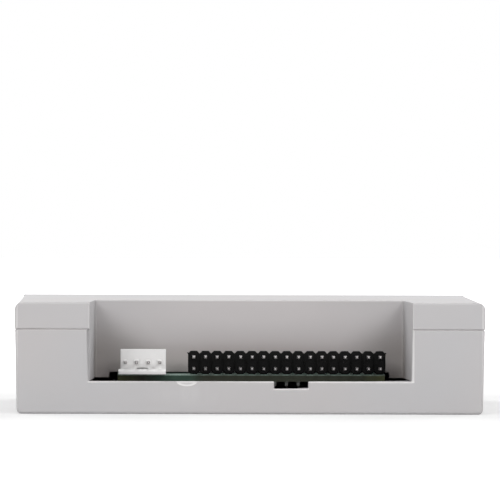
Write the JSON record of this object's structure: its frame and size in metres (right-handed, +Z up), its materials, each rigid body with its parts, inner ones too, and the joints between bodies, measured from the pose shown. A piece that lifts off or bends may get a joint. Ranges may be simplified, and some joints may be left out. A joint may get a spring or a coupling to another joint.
{
  "type": "floppy drive emulator",
  "caption": "Floppy drive emulator: low plastic case with memory stick socket and lamps in front, and a rear recess with pin headers for ribbon and power plugs.",
  "frame": {"origin": "under the middle of the whole length and width, on the plane that the base stands on", "axes": "+Y from the front panel to the rear, +Z up, so +X is to the right of someone who faces the front panel"},
  "size_m": [0.1016, 0.1268, 0.0241],
  "materials": {
    "case_plastic": "fine matt texture, pale grey",
    "board_green": "dark green solder resist, satin",
    "header_black": "moulded, satin",
    "header_white": "moulded, satin",
    "pin_tin": "bright tin plate",
    "contact_gold": "thin gold plate",
    "shell_steel": "folded sheet, bright",
    "socket_white": "moulded, satin",
    "lens_red": "tinted clear, glossy",
    "lens_green": "tinted clear, glossy",
    "lead_steel": "tinned wire",
    "chip_black": "moulded epoxy, matt",
    "leg_tin": "tinned",
    "fuse_green": "lacquered",
    "crystal_steel": "drawn can, bright",
    "can_aluminium": "drawn can, satin",
    "resistor_black": "glazed ceramic",
    "ceramic_tan": "fired ceramic",
    "cap_blue": "moulded, satin",
    "cap_red": "moulded, satin",
    "screw_steel": "zinc plate"
  },
  "bodies": {
    "case": {"bottom_tray": "case_plastic", "top_cover": "case_plastic", "main_board": "board_green", "board_screws": "screw_steel", "usb_shell": "shell_steel", "usb_insulator": "socket_white", "usb_contacts": "contact_gold", "signal_header_body": "header_black", "signal_header_pins": "pin_tin", "power_header_body": "header_white", "power_header_pins": "pin_tin", "controller_chip": "chip_black", "controller_legs": "leg_tin", "memory_chip": "chip_black", "memory_legs": "leg_tin", "buffer_chips": "chip_black", "buffer_legs": "leg_tin", "voltage_regulator": "chip_black", "regulator_legs": "leg_tin", "resettable_fuse": "fuse_green", "crystal": "crystal_steel", "filter_capacitor": "can_aluminium", "filter_capacitor_base": "header_black", "small_resistors": "resistor_black", "small_capacitors": "ceramic_tan", "jumper_block": "header_black", "jumper_pins": "pin_tin", "programming_block": "header_black", "programming_pins": "pin_tin", "red_lamp_lens": "lens_red", "red_lamp_leads": "lead_steel", "green_lamp_lens": "lens_green", "green_lamp_leads": "lead_steel"},
    "drive_select_cap": {"drive_select_cap": "cap_blue"},
    "disk_ready_cap": {"disk_ready_cap": "cap_red"}
  },
  "joints": [
    {"name": "drive_select_cap_pull", "type": "slide", "parent": "case", "child": "drive_select_cap", "axis": [0, 0, 1], "range_m": [0, 0.0048]},
    {"name": "disk_ready_cap_pull", "type": "slide", "parent": "case", "child": "disk_ready_cap", "axis": [0, 0, 1], "range_m": [0, 0.0048]}
  ]
}
